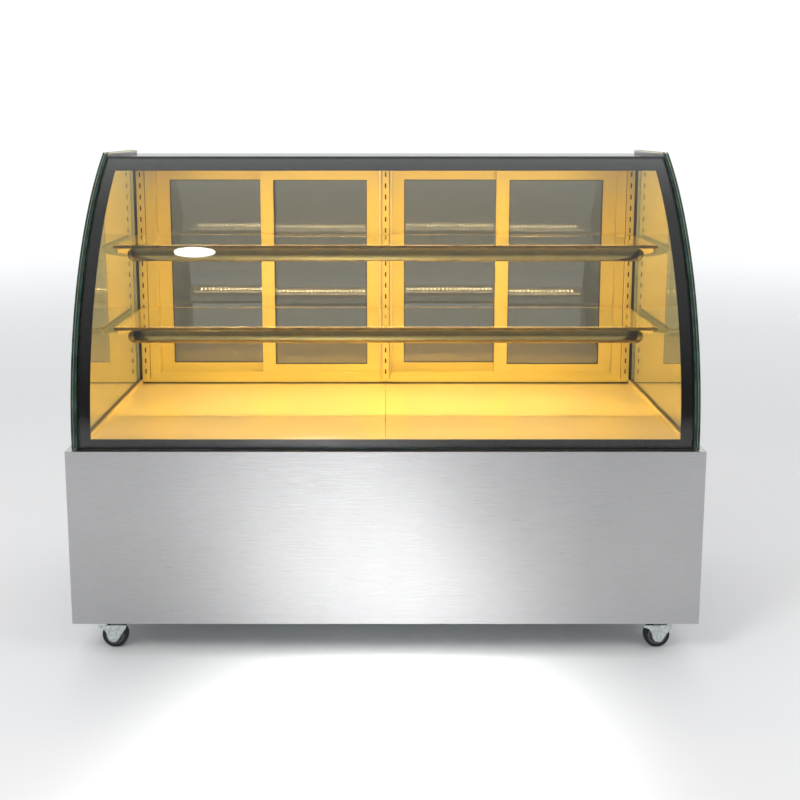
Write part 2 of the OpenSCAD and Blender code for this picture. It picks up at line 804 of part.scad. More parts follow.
// Wheel: grey hub with a bore and a black tyre around it, turning about Y
module caster_wheel(i) {
    rim_r = wheel_d / 2 - 9;
    translate([caster_at[i][0] - trail, caster_at[i][1], wheel_z]) rotate([90, 0, 0]) {
        color("gray") rotate_extrude($fn = round_fn) polygon([
            [bore_r, -wheel_w / 2], [11, -wheel_w / 2], [11, -4],
            [rim_r - 5, -4], [rim_r - 5, -wheel_w / 2 + 2], [rim_r, -wheel_w / 2 + 2],
            [rim_r, wheel_w / 2 - 2], [rim_r - 5, wheel_w / 2 - 2], [rim_r - 5, 4],
            [11, 4], [11, wheel_w / 2], [bore_r, wheel_w / 2]
        ]);
        color(dark) rotate_extrude($fn = round_fn) {
            translate([rim_r, -wheel_w / 2 + 1.5]) square([5, wheel_w - 3]);
            translate([rim_r + 4.5, -wheel_w / 2 + 4.5]) square([4.5, wheel_w - 9]);
            for (s = [-1, 1]) translate([rim_r + 4.5, s * (wheel_w / 2 - 5.2)])
                circle(r = 3.7, $fn = round_fn);
        }
    }
}
module caster_wheel_front_left() { caster_wheel(0); }
module caster_wheel_front_right() { caster_wheel(1); }
module caster_wheel_rear_left() { caster_wheel(2); }
module caster_wheel_rear_right() { caster_wheel(3); }

module case_screws() {
    screw_r = 3;
    color(zinc) {
        for (p = caster_at, x = [-1, 1], y = [-1, 1])
            translate([p[0] + x * bolt_half, p[1] + y * bolt_half, floor_gap - plate_t - 3]) {
                cylinder(r = screw_r, h = 18);
                cylinder(r = 5.5, h = 3, $fn = 6);
            }
        for (x = [-720, -240, 0, 400, 720], z = [floor_gap + 14, base_top - 20])
            translate([x, panel_rear + sheet + 1.2, z]) rotate([90, 0, 0]) {
                cylinder(r = 4, h = 1.2);
                cylinder(r = 2, h = 8);
            }
    }
}

chassis_frame();
bottom_plate();
front_panel();
side_panel_left();
side_panel_right();
rear_service_panel();
base_rim();
insulated_tub();
deck_pans();
front_air_strip();
evaporator_coil();
evaporator_fan_bulkhead();
evaporator_fan_left();
evaporator_fan_right();
drip_tray();
compressor();
condenser_coil();
condenser_fan_shroud();
condenser_fan();
refrigerant_lines();
electrical_box();
control_panel();
light_rocker();
set_button();
up_button();
down_button();
power_inlet();
front_glass();
side_glass_left();
side_glass_right();
side_glass_spacers();
top_glass();
glass_channels();
rear_frame();
shelf_standards();
shelf_brackets();
shelf_upper();
shelf_lower();
shelf_rails();
light_housings();
light_lenses();
door_frame_1();
door_frame_2();
door_frame_3();
door_frame_4();
door_glass_1();
door_glass_2();
door_glass_3();
door_glass_4();
caster_plates();
caster_fork_front_left();
caster_fork_front_right();
caster_fork_rear_left();
caster_fork_rear_right();
caster_wheel_front_left();
caster_wheel_front_right();
caster_wheel_rear_left();
caster_wheel_rear_right();
case_screws();
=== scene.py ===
"""Looks of a refrigerated glass display showcase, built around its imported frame."""

import logging
import math
from dataclasses import dataclass, field
from enum import Enum
from typing import Callable, Iterable, Sequence

import bmesh
import bpy
from mathutils import Matrix, Vector


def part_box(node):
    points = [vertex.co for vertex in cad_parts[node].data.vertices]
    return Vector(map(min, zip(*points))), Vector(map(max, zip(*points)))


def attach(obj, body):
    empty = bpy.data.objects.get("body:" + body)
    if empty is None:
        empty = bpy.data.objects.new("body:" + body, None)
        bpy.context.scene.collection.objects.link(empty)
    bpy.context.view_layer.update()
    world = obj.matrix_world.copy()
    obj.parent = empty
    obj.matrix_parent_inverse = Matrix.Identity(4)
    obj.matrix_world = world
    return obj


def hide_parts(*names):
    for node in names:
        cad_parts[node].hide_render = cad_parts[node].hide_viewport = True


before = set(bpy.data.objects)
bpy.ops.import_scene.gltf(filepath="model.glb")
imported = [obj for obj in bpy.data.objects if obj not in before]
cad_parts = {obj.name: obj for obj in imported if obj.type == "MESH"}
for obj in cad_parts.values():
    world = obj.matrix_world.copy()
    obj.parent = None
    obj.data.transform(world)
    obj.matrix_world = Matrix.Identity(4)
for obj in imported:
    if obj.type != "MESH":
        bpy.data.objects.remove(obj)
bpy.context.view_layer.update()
LOG = logging.getLogger("showcase")
MM = 0.001
CASE = "case"
# Most of a noise texture's values lie between these two.
NOISE_LOW = 0.3
NOISE_HIGH = 0.7
# Vertices nearer than this are one point.
WELD = 1e-6


class Axis(Enum):
    """An axis of the shared frame."""

    X = 0
    Y = 1
    Z = 2

    @property
    def vector(self) -> Vector:
        """Unit vector along the axis."""
        return Vector([float(i == self.value) for i in range(3)])


# ---------------------------------------------------------------- finishes


class Graph:
    """A material's node tree while it is being wired."""

    def __init__(self, name: str) -> None:
        """Start an empty tree with an output and a Principled shader.

        Args:
            name: name of the material.
        """
        self.material = bpy.data.materials.new(name)
        self.material.use_nodes = True
        self.tree = self.material.node_tree
        self.tree.nodes.clear()
        self.output = self.tree.nodes.new("ShaderNodeOutputMaterial")
        self.surface = self.tree.nodes.new("ShaderNodeBsdfPrincipled")
        self.link(self.surface.outputs["BSDF"], self.output.inputs["Surface"])

    def link(self, source: bpy.types.NodeSocket, target: bpy.types.NodeSocket) -> None:
        """Wire source into target."""
        self.tree.links.new(source, target)

    def put(self, **values: object) -> None:
        """Set sockets of the Principled shader, named with underscores for spaces."""
        for name, value in values.items():
            self.surface.inputs[name.replace("_", " ")].default_value = value

    def drive(self, source: bpy.types.NodeSocket, name: str) -> None:
        """Wire source into the Principled shader's socket called name."""
        self.link(source, self.surface.inputs[name])

    def place(self, scale: Sequence[float] = (1.0, 1.0, 1.0)) -> bpy.types.NodeSocket:
        """Object coordinates, stretched.

        Args:
            scale: how much each axis is stretched.

        Returns:
            The mapped coordinates.
        """
        coords = self.tree.nodes.new("ShaderNodeTexCoord")
        mapping = self.tree.nodes.new("ShaderNodeMapping")
        mapping.inputs["Scale"].default_value = scale
        self.link(coords.outputs["Object"], mapping.inputs["Vector"])
        return mapping.outputs["Vector"]

    def noise(
        self,
        scale: float,
        detail: float = 3.0,
        stretch: Sequence[float] = (1.0, 1.0, 1.0),
        roughness: float = 0.5,
    ) -> bpy.types.NodeSocket:
        """Noise over the surface.

        Args:
            scale: cells per metre.
            detail: octaves.
            stretch: how much each axis is stretched.
            roughness: strength of the fine octaves.

        Returns:
            The noise's value.
        """
        texture = self.tree.nodes.new("ShaderNodeTexNoise")
        texture.inputs["Scale"].default_value = scale
        texture.inputs["Detail"].default_value = detail
        texture.inputs["Roughness"].default_value = roughness
        self.link(self.place(stretch), texture.inputs["Vector"])
        return texture.outputs["Fac"]

    def cells(self, scale: float) -> bpy.types.NodeSocket:
        """Random grey of the cells of a crystal pattern, cells per metre."""
        texture = self.tree.nodes.new("ShaderNodeTexVoronoi")
        texture.inputs["Scale"].default_value = scale
        self.link(self.place(), texture.inputs["Vector"])
        split = self.tree.nodes.new("ShaderNodeSeparateColor")
        self.link(texture.outputs["Color"], split.inputs["Color"])
        return split.outputs["Red"]

    def remap(self, source: bpy.types.NodeSocket, low: float, high: float) -> bpy.types.NodeSocket:
        """Spread a noise value between low and high."""
        node = self.tree.nodes.new("ShaderNodeMapRange")
        node.inputs["From Min"].default_value = NOISE_LOW
        node.inputs["From Max"].default_value = NOISE_HIGH
        node.inputs["To Min"].default_value = low
        node.inputs["To Max"].default_value = high
        self.link(source, node.inputs["Value"])
        return node.outputs["Result"]

    def blend(
        self, source: bpy.types.NodeSocket, first: Sequence[float], second: Sequence[float]
    ) -> bpy.types.NodeSocket:
        """Mix two colours by a noise value."""
        ramp = self.tree.nodes.new("ShaderNodeValToRGB")
        ramp.color_ramp.elements[0].position = NOISE_LOW
        ramp.color_ramp.elements[0].color = (*first, 1.0)
        ramp.color_ramp.elements[1].position = NOISE_HIGH
        ramp.color_ramp.elements[1].color = (*second, 1.0)
        self.link(source, ramp.inputs["Fac"])
        return ramp.outputs["Color"]

    def vary(self, source: bpy.types.NodeSocket, color: Sequence[float], swing: float) -> None:
        """Drive the base colour from a little darker to a little lighter by a noise value."""
        self.drive(self.blend(source, shade(color, 1 - swing), shade(color, 1 + swing)), "Base Color")

    def bump(self, source: bpy.types.NodeSocket, strength: float, depth: float) -> None:
        """Raise the surface by a noise value, depth in metres."""
        node = self.tree.nodes.new("ShaderNodeBump")
        node.inputs["Strength"].default_value = strength
        node.inputs["Distance"].default_value = depth
        self.link(source, node.inputs["Height"])
        self.drive(node.outputs["Normal"], "Normal")

    def clear_to_lamps(self, share: float) -> None:
        """Let lamps and soft light pass straight through the surface.

        Args:
            share: the part of the light that passes.
        """
        path = self.tree.nodes.new("ShaderNodeLightPath")
        bare = self.tree.nodes.new("ShaderNodeBsdfTransparent")
        bare.inputs["Color"].default_value = (share, share, share, 1.0)
        shader = self.surface.outputs["BSDF"]
        for ray in ("Is Diffuse Ray", "Is Shadow Ray"):
            mix = self.tree.nodes.new("ShaderNodeMixShader")
            self.link(path.outputs[ray], mix.inputs["Fac"])
            self.link(shader, mix.inputs[1])
            self.link(bare.outputs["BSDF"], mix.inputs[2])
            shader = mix.outputs["Shader"]
        self.link(shader, self.output.inputs["Surface"])


def shade(color: Sequence[float], factor: float) -> tuple[float, float, float]:
    """A colour made lighter or darker by factor."""
    return tuple(min(1.0, c * factor) for c in color)


@dataclass(frozen=True)
class BrushedSteel:
    """Stainless sheet with a grain along one axis."""

    name: str
    color: tuple[float, float, float] = (0.60, 0.60, 0.60)
    grain: Axis = Axis.X
    roughness: float = 0.30
    spread: float = 0.07
    depth: float = 0.00002
    cloud: float = 0.06
    metallic: float = 1.0

    def material(self) -> bpy.types.Material:
        """Wire the grain, the faint clouds and the fine scratches."""
        graph = Graph(self.name)
        graph.put(Metallic=self.metallic)
        stretch = [1.0, 1.0, 1.0]
        stretch[self.grain.value] = 0.012
        lines = graph.noise(900.0, 4.0, stretch, 0.65)
        clouds = graph.noise(2.2, 3.0)
        least, most = self.roughness - self.spread, self.roughness + self.spread
        graph.drive(graph.remap(lines, least, most), "Roughness")
        graph.vary(clouds, self.color, self.cloud)
        graph.bump(lines, 0.25, self.depth)
        return graph.material


@dataclass(frozen=True)
class PolishedSteel:
    """Bright rolled trim with faint drawing lines and finger marks."""

    name: str
    color: tuple[float, float, float] = (0.72, 0.71, 0.69)
    roughness: float = 0.12

    def material(self) -> bpy.types.Material:
        """Wire the lines and the marks."""
        graph = Graph(self.name)
        graph.put(Metallic=1.0)
        marks = graph.noise(24.0, 4.0)
        lines = graph.noise(700.0, 3.0, (0.02, 1.0, 1.0))
        graph.drive(graph.remap(marks, self.roughness * 0.6, self.roughness * 1.6), "Roughness")
        graph.drive(graph.blend(marks, shade(self.color, 0.94), shade(self.color, 1.04)), "Base Color")
        graph.bump(lines, 0.08, 0.00001)
        return graph.material


@dataclass(frozen=True)
class Pane:
    """Clear or tinted flat glass that lamps shine through."""

    name: str
    tint: tuple[float, float, float] = (0.97, 0.99, 0.98)
    ior: float = 1.45
    admit: float = 0.95
    smear: float = 0.015

    def material(self) -> bpy.types.Material:
        """Wire the faint smears of a wiped pane."""
        graph = Graph(self.name)
        graph.put(Transmission_Weight=1.0, IOR=self.ior)
        wiped = graph.noise(5.0, 4.0, (1.0, 1.0, 0.35))
        graph.drive(graph.remap(wiped, 0.0, self.smear), "Roughness")
        graph.drive(graph.blend(wiped, shade(self.tint, 0.985), self.tint), "Base Color")
        graph.clear_to_lamps(self.admit)
        return graph.material


@dataclass(frozen=True)
class GlassEdge:
    """Ground and polished edge of float glass, deep green where one looks into it."""

    name: str
    deep: tuple[float, float, float] = (0.010, 0.030, 0.024)
    light: tuple[float, float, float] = (0.045, 0.10, 0.085)

    def material(self) -> bpy.types.Material:
        """Wire the green streaks along the edge."""
        graph = Graph(self.name)
        graph.put(IOR=1.5, Specular_IOR_Level=0.08)
        streaks = graph.noise(34.0, 3.0)
        fine = graph.noise(900.0, 2.0)
        graph.drive(graph.blend(streaks, self.deep, self.light), "Base Color")
        graph.drive(graph.remap(fine, 0.10, 0.24), "Roughness")
        return graph.material


@dataclass(frozen=True)
class Ink:
    """Fired ceramic print on glass: smooth, near black, slightly mottled."""

    name: str
    color: tuple[float, float, float] = (0.012, 0.012, 0.009)
    sheen: float = 0.16

    def material(self) -> bpy.types.Material:
        """Wire the mottle and the fine pinholes."""
        graph = Graph(self.name)
        graph.put(IOR=1.5, Specular_IOR_Level=0.1)
        mottle = graph.noise(60.0, 4.0)
        graph.drive(graph.blend(mottle, shade(self.color, 0.8), shade(self.color, 1.3)), "Base Color")
        graph.drive(graph.remap(mottle, self.sheen * 0.8, self.sheen * 1.3), "Roughness")
        graph.bump(graph.noise(1500.0, 2.0), 0.05, 0.00002)
        return graph.material


@dataclass(frozen=True)
class Moulded:
    """Moulded plastic, foam skin or rubber with a fine texture."""

    name: str
    color: tuple[float, float, float]
    roughness: float = 0.45
    grain: float = 1400.0
    depth: float = 0.00004
    wear: float = 0.25

    def material(self) -> bpy.types.Material:
        """Wire the texture and the slight change of shade."""
        graph = Graph(self.name)
        patches = graph.noise(14.0, 3.0)
        texture = graph.noise(self.grain, 3.0)
        graph.vary(patches, self.color, self.wear)
        graph.drive(graph.remap(patches, self.roughness * 0.85, min(1.0, self.roughness * 1.2)), "Roughness")
        graph.bump(texture, 0.3, self.depth)
        return graph.material


@dataclass(frozen=True)
class Coated:
    """Painted, plated or bare metal with patches and a crystal pattern."""

    name: str
    color: tuple[float, float, float]
    metallic: float = 0.0
    roughness: float = 0.35
    crystals: float = 0.0
    patch: float = 0.10

    def material(self) -> bpy.types.Material:
        """Wire the patches, or the spangle of zinc where crystals is set."""
        graph = Graph(self.name)
        graph.put(Metallic=self.metallic)
        pattern = graph.cells(self.crystals) if self.crystals else graph.noise(9.0, 4.0)
        graph.vary(pattern, self.color, self.patch)
        wear = graph.noise(40.0, 4.0)
        graph.drive(graph.remap(wear, self.roughness * 0.8, self.roughness * 1.25), "Roughness")
        graph.bump(graph.noise(600.0, 3.0), 0.12, 0.00003)
        return graph.material


@dataclass(frozen=True)
class Glow:
    """Lamp lens or diode that gives off light."""

    name: str
    color: tuple[float, float, float] = (1.0, 0.70, 0.30)
    strength: float = 6.0
    body: tuple[float, float, float] = (0.9, 0.86, 0.78)

    def material(self) -> bpy.types.Material:
        """Wire the milky body and its light."""
        graph = Graph(self.name)
        graph.put(Emission_Color=(*self.color, 1.0), Emission_Strength=self.strength, Roughness=0.4)
        milk = graph.noise(120.0, 2.0)
        graph.drive(graph.blend(milk, shade(self.body, 0.92), self.body), "Base Color")
        graph.material.cycles.emission_sampling = "NONE"
        return graph.material


class Palette:
    """Every finish of the showcase, made once and shared."""

    def __init__(self) -> None:
        """Make the materials."""
        finishes = [
            BrushedSteel("base_steel", (0.47, 0.47, 0.475), Axis.X, 0.30),
            # Painted warm lamp light: the deck's neutral stainless is given a gold colour.
            BrushedSteel("deck_steel_painted_lamp_light", (0.88, 0.79, 0.56), Axis.X, 0.34, 0.06, metallic=0.2),
            # Painted warm lamp light: the frame's neutral stainless is given a gold colour.
            BrushedSteel("frame_steel_painted_lamp_light", (0.80, 0.70, 0.27), Axis.Z, 0.42, 0.08, metallic=0.2),
            # Painted reflection and lamp light: the bright neutral trim is darkened and tinted gold.
            PolishedSteel("rail_steel_painted_reflection", (0.34, 0.26, 0.09)),
            Pane("front_pane", (0.985, 0.995, 0.98), 1.42, 0.35),
            # Painted warm lamp light: the clear side glass is tinted gold.
            Pane("side_pane_painted_lamp_light", (0.93, 0.82, 0.47), 2.3, 0.6),
            Pane("shelf_pane", (0.95, 0.96, 0.90), 1.45, 0.97),
            # Painted shade: the door glass is tinted dark olive to stand for a dim room seen through it.
            Pane("door_pane_painted_shade", (0.17, 0.155, 0.10), 2.35, 0.5),
            Pane("top_pane", (0.26, 0.32, 0.29), 1.02, 0.25),
            GlassEdge("green_edge"),
            # Painted lamp glow: the shelf edges are gold, where float glass edges are green.
            GlassEdge("shelf_edge_painted_lamp_glow", (0.40, 0.31, 0.12), (0.66, 0.50, 0.20)),
            Ink("border_ink"),
            Moulded("spacer_black", (0.02, 0.022, 0.022), 0.5),
            Moulded("silicone_black", (0.012, 0.012, 0.012), 0.35, 300.0),
            Moulded("black_plastic", (0.022, 0.022, 0.024), 0.42),
            Moulded("tyre_rubber", (0.014, 0.014, 0.016), 0.55, 700.0, 0.00008),
            Moulded("hub_plastic", (0.16, 0.17, 0.18), 0.40),
            Moulded("tub_skin", (0.72, 0.72, 0.70), 0.5, 500.0),
            Moulded("button_rubber", (0.20, 0.21, 0.22), 0.6),
            Coated("zinc", (0.62, 0.66, 0.66), 0.85, 0.38, 260.0, 0.14),
            Coated("screw_zinc", (0.66, 0.67, 0.66), 0.95, 0.30, 0.0, 0.08),
            Coated("chassis_paint", (0.14, 0.145, 0.15), 0.0, 0.42),
            Coated("compressor_paint", (0.018, 0.018, 0.02), 0.0, 0.22),
            Coated("fin_aluminium", (0.74, 0.75, 0.76), 0.9, 0.34),
            Coated("copper_tube", (0.66, 0.30, 0.16), 1.0, 0.26, 0.0, 0.22),
            Coated("white_paint", (0.76, 0.76, 0.74), 0.0, 0.36),
            Coated("bar_white", (0.80, 0.76, 0.68), 0.0, 0.30),
            Glow("lamp_lens", (1.0, 0.74, 0.36), 5.0),
            Glow("lamp_diode", (1.0, 0.80, 0.46), 170.0),
            Glow("rocker_green", (0.10, 0.9, 0.25), 0.7, (0.02, 0.30, 0.08)),
            Glow("display_window", (0.9, 0.05, 0.02), 0.02, (0.03, 0.006, 0.006)),
        ]
        self.made = {finish.name: finish.material() for finish in finishes}

    def __getitem__(self, name: str) -> bpy.types.Material:
        """The material called name."""
        return self.made[name]


# ---------------------------------------------------------------- mesh work


def smooth(mesh: bpy.types.Mesh, angle: float = 35.0) -> None:
    """Shade a mesh smooth, with crisp edges where it turns by more than angle degrees."""
    for polygon in mesh.polygons:
        polygon.use_smooth = True
    mesh.set_sharp_from_angle(angle=math.radians(angle))


@dataclass
class Piece:
    """A finished piece on its way into the scene."""

    name: str
    body: str
    slot: str
    finishes: Sequence[bpy.types.Material]
    stands_for: Sequence[str] = ()
    angle: float = 35.0

    def add(self, shape: bmesh.types.BMesh) -> bpy.types.Object:
        """Turn a bmesh into an object that rides on its body.

        Args:
            shape: the mesh, in the shared frame. It is freed.

        Returns:
            The new object.
        """
        mesh = bpy.data.meshes.new(self.name)
        shape.to_mesh(mesh)
        shape.free()
        for finish in self.finishes:
            mesh.materials.append(finish)
        smooth(mesh, self.angle)
        piece = bpy.data.objects.new(self.name, mesh)
        bpy.context.scene.collection.objects.link(piece)
        even = piece.modifiers.new("even_normals", "WEIGHTED_NORMAL")
        even.mode = "FACE_AREA"
        even.keep_sharp = True
        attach(piece, self.body)
        if self.stands_for:
            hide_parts(*self.stands_for)
        LOG.info("%s: %d faces on %s", self.name, len(mesh.polygons), self.body)
        return piece


def cad_copy(node: str) -> bmesh.types.BMesh:
    """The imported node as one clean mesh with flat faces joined."""
    shape = bmesh.new()
    shape.from_mesh(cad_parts[node].data)
    bmesh.ops.remove_doubles(shape, verts=shape.verts, dist=2 * WELD)
    bmesh.ops.dissolve_limit(
        shape,
        angle_limit=math.radians(0.4),
        use_dissolve_boundaries=False,
        verts=shape.verts,
        edges=shape.edges,
    )
    return shape


def round_edges(shape: bmesh.types.BMesh, width: float, least: float = 30.0) -> None:
    """Round the sharp edges of a mesh.

    Args:
        shape: the mesh, changed in place.
        width: how far the rounding reaches.
        least: smallest turn in degrees that counts as sharp.
    """
    sharp = [e for e in shape.edges if e.is_manifold and e.calc_face_angle(0.0) > math.radians(least)]
    bmesh.ops.bevel(
        shape,
        geom=sharp,
        offset=width,
        offset_type="OFFSET",
        affect="EDGES",
        segments=2,
        profile=0.5,
        material=-1,
        clamp_overlap=True,
    )


def crate(shape: bmesh.types.BMesh, low: Sequence[float], high: Sequence[float]) -> list[bmesh.types.BMVert]:
    """Add a block between two corners.

    Args:
        shape: the mesh that takes it.
        low: lowest corner.
        high: highest corner.

    Returns:
        The block's eight vertices.
    """
    low_corner, high_corner = Vector(low), Vector(high)
    size = high_corner - low_corner
    place = Matrix.Translation((low_corner + high_corner) / 2) @ Matrix.Diagonal((*size, 1.0))
    return bmesh.ops.create_cube(shape, size=1.0, matrix=place)["verts"]


def paint(shape: bmesh.types.BMesh, rule: Callable[[bmesh.types.BMFace], int]) -> None:
    """Give each face the material index that rule says."""
    shape.normal_update()
    for face in shape.faces:
        face.material_index = rule(face)


def edge_rule(thin: Axis) -> Callable[[bmesh.types.BMFace], int]:
    """A rule that gives a pane's two large faces index 0 and its edges index 1."""
    return lambda face: 0 if abs(face.normal[thin.value]) > 0.95 else 1


@dataclass
class Softened:
    """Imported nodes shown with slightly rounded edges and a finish."""

    palette: Palette
    arris: float = 0.7 * MM

    def show(self, node: str, slot: str, finish: str, width: float, body: str = CASE) -> bpy.types.Object:
        """Replace one node with its softened copy.

        Args:
            node: the node.
            slot: the record's material slot; not used.
            finish: name of the finish.
            width: reach of the rounding.
            body: the body that the node is on.

        Returns:
            The new piece.
        """
        shape = cad_copy(node)
        round_edges(shape, width)
        return Piece(node + "_skin", body, slot, [self.palette[finish]], [node]).add(shape)

    def pane(
        self, node: str, slot: str, finish: str, edge: str, thin: Axis, body: str = CASE
    ) -> bpy.types.Object:
        """Replace one flat pane with a copy that has arrised, tinted edges.

        Args:
            node: the node.
            slot: the record's material slot; not used.
            finish: name of the glass finish.
            edge: name of the finish of the edges.
            thin: the axis across the pane.
            body: the body that the node is on.

        Returns:
            The new piece.
        """
        shape = cad_copy(node)
        round_edges(shape, self.arris)
        paint(shape, edge_rule(thin))
        finishes = [self.palette[finish], self.palette[edge]]
        return Piece(node + "_pane", body, slot, finishes, [node]).add(shape)


# ---------------------------------------------------------------- sub-assemblies


@dataclass
class SteelBase:
    """Sheet-metal base with its chassis, rim and screws."""

    palette: Palette

    def build(self) -> None:
        """Show every sheet with folded, rounded corners."""
        soft = Softened(self.palette)
        for node in ("front_panel", "side_panel_left", "side_panel_right", "rear_service_panel", "base_rim"):
            soft.show(node, "brushed_stainless", "base_steel", 0.6 * MM)
        soft.show("bottom_plate", "chassis_steel", "zinc", 0.4 * MM)
        soft.show("chassis_frame", "chassis_steel", "chassis_paint", 1.5 * MM)
        soft.show("case_screws", "galvanised", "screw_zinc", 0.3 * MM)
        soft.show("electrical_box", "chassis_steel", "chassis_paint", 1.0 * MM)


@dataclass
class GlassBody:
    """Curved front glass with its printed border, double side glass and top glass."""

    palette: Palette
    radius: float = 806 * MM
    thickness: float = 8 * MM
    axis_height: float = 520 * MM
    steps: int = 72
    print_lift: float = 0.15 * MM
    print_depth: float = 0.3 * MM
    side_band: float = 27 * MM
    foot_band: float = 21 * MM
    top_band: float = 38 * MM
    bead: float = 1.6 * MM

    def __post_init__(self) -> None:
        """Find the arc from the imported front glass."""
        self.low, self.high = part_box("front_glass")
        self.centre = Vector((0.0, self.low.y + self.radius, self.axis_height))

    def angle_at(self, height: float, radius: float) -> float:
        """Angle on the arc, from the horizontal, where radius reaches height."""
        return math.asin((height - self.axis_height) / radius)

    def arc_sheet(
        self,
        shape: bmesh.types.BMesh,
        x: tuple[float, float],
        r: tuple[float, float],
        turn: tuple[float, float],
    ) -> None:
        """Add a curved sheet between two radii.

        Args:
            shape: the mesh that takes it.
            x: left and right ends.
            r: inner and outer radius.
            turn: lower and upper angle in radians.
        """
        corners = [(x[0], r[0]), (x[1], r[0]), (x[1], r[1]), (x[0], r[1])]
        verts = [
            shape.verts.new(
                (cx, self.centre.y - cr * math.cos(turn[0]), self.centre.z + cr * math.sin(turn[0]))
            )
            for cx, cr in corners
        ]
        face = shape.faces.new(verts)
        count = max(4, round(self.steps * (turn[1] - turn[0])))
        bmesh.ops.spin(
            shape,
            geom=[face, *face.verts, *face.edges],
            cent=self.centre,
            axis=Axis.X.vector,
            angle=-(turn[1] - turn[0]),
            steps=count,
            use_merge=False,
            use_duplicate=False,
        )
        bmesh.ops.recalc_face_normals(shape, faces=shape.faces)

    def front(self) -> None:
        """The curved pane, one solid with arrised edges."""
        shape = bmesh.new()
        turn = (self.angle_at(self.low.z, self.radius), self.angle_at(self.high.z, self.radius))
        self.arc_sheet(shape, (self.low.x, self.high.x), (self.radius - self.thickness, self.radius), turn)

        def rule(face: bmesh.types.BMFace) -> int:
            """Index 1 for the four narrow edges."""
            centre = face.calc_center_median()
            out = Vector((0.0, centre.y - self.centre.y, centre.z - self.centre.z)).normalized()
            return 0 if abs(face.normal.dot(out)) > 0.7 else 1

        paint(shape, rule)
        finishes = [self.palette["front_pane"], self.palette["green_edge"]]
        Piece("front_glass_pane", CASE, "clear_glass", finishes, ["front_glass"]).add(shape)

    def border(self) -> None:
        """The printed border on the inner side of the curved pane: foot, top and two sides."""
        shape = bmesh.new()
        outer = self.radius - self.thickness - self.print_lift
        r = (outer - self.print_depth, outer)
        foot = self.angle_at(self.low.z, self.radius)
        top = self.angle_at(self.high.z, self.radius)
        foot_end = self.angle_at(self.low.z + self.foot_band, outer)
        top_start = self.angle_at(self.high.z - self.top_band, outer)
        self.arc_sheet(shape, (self.low.x, self.high.x), r, (foot, foot_end))
        self.arc_sheet(shape, (self.low.x, self.high.x), r, (top_start, top))
        for side in (
            (self.low.x, self.low.x + self.side_band),
            (self.high.x - self.side_band, self.high.x),
        ):
            self.arc_sheet(shape, side, r, (foot_end, top_start))
        Piece("front_glass_border", CASE, "black_plastic", [self.palette["border_ink"]]).add(shape)

    def sealant(self) -> None:
        """Black sealant between the curved pane and the side glass."""
        shape = bmesh.new()
        turn = (self.angle_at(self.low.z, self.radius), self.angle_at(self.high.z, self.radius))
        for side in (-1, 1):
            ends = sorted((side * self.high.x, side * (self.high.x + self.bead)))
            self.arc_sheet(shape, (ends[0], ends[1]), (self.radius - self.thickness, self.radius - MM), turn)
        Piece("corner_sealant", CASE, "black_plastic", [self.palette["silicone_black"]]).add(shape)

    def build(self) -> None:
        """Make every glass of the body and what holds it."""
        self.front()
        self.border()
        self.sealant()
        soft = Softened(self.palette)
        for side in ("left", "right"):
            soft.pane(f"side_glass_{side}", "clear_glass", "side_pane_painted_lamp_light", "green_edge", Axis.X)
        soft.pane("top_glass", "tinted_glass", "top_pane", "green_edge", Axis.Z)
        soft.show("side_glass_spacers", "spacer_dark", "spacer_black", 0.3 * MM)
        # The channels take the deck's gold colour, which is painted warm lamp light.
        soft.show("glass_channels", "black_plastic", "deck_steel_painted_lamp_light", 1.0 * MM)


